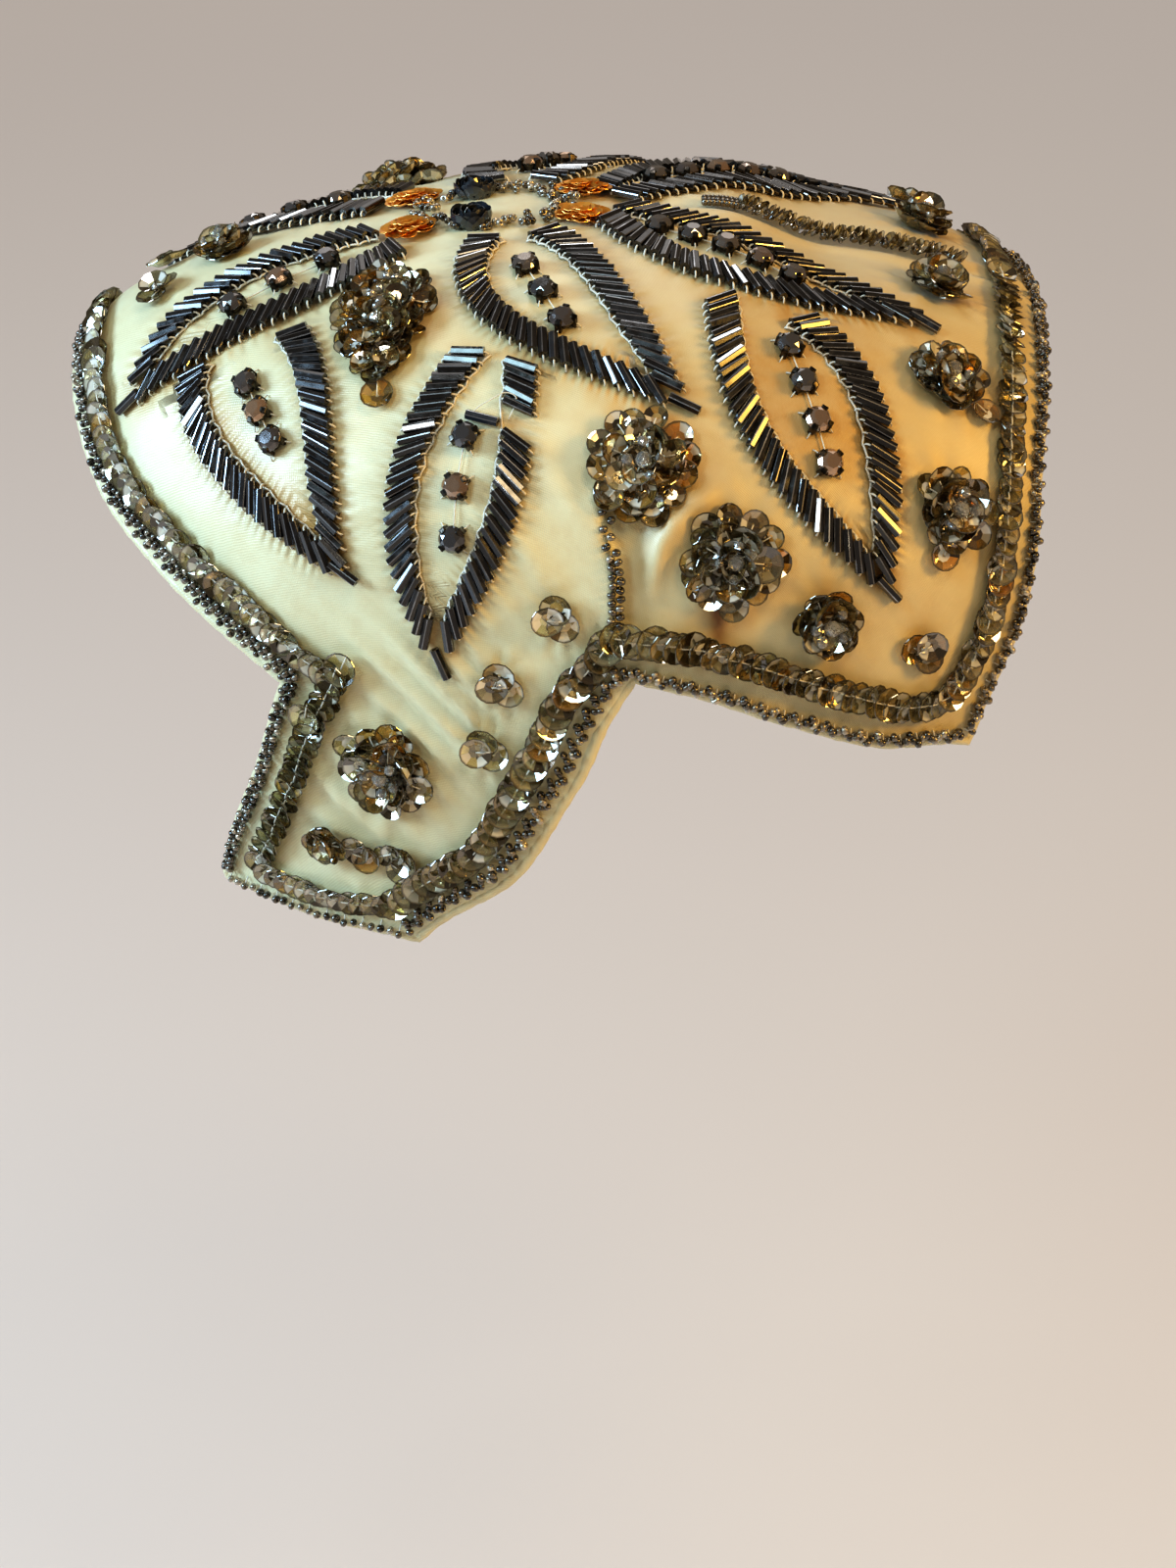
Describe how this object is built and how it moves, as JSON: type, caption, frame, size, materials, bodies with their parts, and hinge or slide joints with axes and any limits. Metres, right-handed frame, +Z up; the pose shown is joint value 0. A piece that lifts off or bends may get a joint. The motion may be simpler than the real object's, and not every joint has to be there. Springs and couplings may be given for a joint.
{
  "type": "beaded half hat",
  "caption": "Close-fitting satin half hat with temple flaps, an ear notch and a square back panel, embroidered with leaves of bugle beads, stones and sequin blossoms.",
  "frame": {"origin": "the point inside the top of the crown where the head touches it, straight above the crown's centre", "axes": "+Z up as worn, the front of the hat towards -Y, the wearer's left towards +X"},
  "size_m": [0.1602, 0.187, 0.1257],
  "materials": {
    "cream_satin": "cream satin with a soft sheen",
    "bugle_glass": "dark silver-lined glass bugle beads",
    "smoky_stone": "smoky cut stones in dark four-claw settings",
    "gold_sequin": "clear gold and grey faceted sequins",
    "copper_sequin": "coiled copper and dark sequins",
    "clear_bead": "small clear grey glass beads"
  },
  "bodies": {
    "root": {"back_blossom_high_left": "gold_sequin", "back_blossom_high_right": "gold_sequin", "back_blossom_low_left": "gold_sequin", "back_blossom_low_right": "gold_sequin", "back_blossom_middle_left": "gold_sequin", "back_blossom_middle_right": "gold_sequin", "back_lead_bugles_left": "bugle_glass", "back_lead_bugles_right": "bugle_glass", "back_lead_stones_left": "smoky_stone", "back_lead_stones_right": "smoky_stone", "back_leaf_bugles_left": "bugle_glass", "back_leaf_bugles_right": "bugle_glass", "back_leaf_stones_left": "smoky_stone", "back_leaf_stones_right": "smoky_stone", "back_seam_trim": "clear_bead", "brow_blossom": "gold_sequin", "crown": "cream_satin", "dart_beads_left": "clear_bead", "dart_beads_right": "clear_bead", "ear_blossom_left": "gold_sequin", "ear_blossom_right": "gold_sequin", "edge_beads": "clear_bead", "edge_sequins": "gold_sequin", "flap_blossom_left": "gold_sequin", "flap_blossom_right": "gold_sequin", "flap_hem_blossom_left": "gold_sequin", "flap_hem_blossom_right": "gold_sequin", "flap_trio_high_left": "gold_sequin", "flap_trio_high_right": "gold_sequin", "flap_trio_low_left": "gold_sequin", "flap_trio_low_right": "gold_sequin", "front_lead_bugles_left": "bugle_glass", "front_lead_bugles_right": "bugle_glass", "front_lead_stones_left": "smoky_stone", "front_lead_stones_right": "smoky_stone", "front_leaf_bugles_left": "bugle_glass", "front_leaf_bugles_right": "bugle_glass", "front_leaf_stones_left": "smoky_stone", "front_leaf_stones_right": "smoky_stone", "grape_bunch_left": "gold_sequin", "grape_bunch_right": "gold_sequin", "hem_blossom_left": "gold_sequin", "hem_blossom_right": "gold_sequin", "hem_trio_left": "gold_sequin", "hem_trio_right": "gold_sequin", "hub_rosette": "copper_sequin", "nape_blossom_left": "gold_sequin", "nape_blossom_right": "gold_sequin", "notch_trio_left": "gold_sequin", "notch_trio_right": "gold_sequin", "side_lead_bugles_left": "bugle_glass", "side_lead_bugles_right": "bugle_glass", "side_lead_stones_left": "smoky_stone", "side_lead_stones_right": "smoky_stone", "side_leaf_bugles_left": "bugle_glass", "side_leaf_bugles_right": "bugle_glass", "side_leaf_stones_left": "smoky_stone", "side_leaf_stones_right": "smoky_stone"}
  },
  "joints": []
}
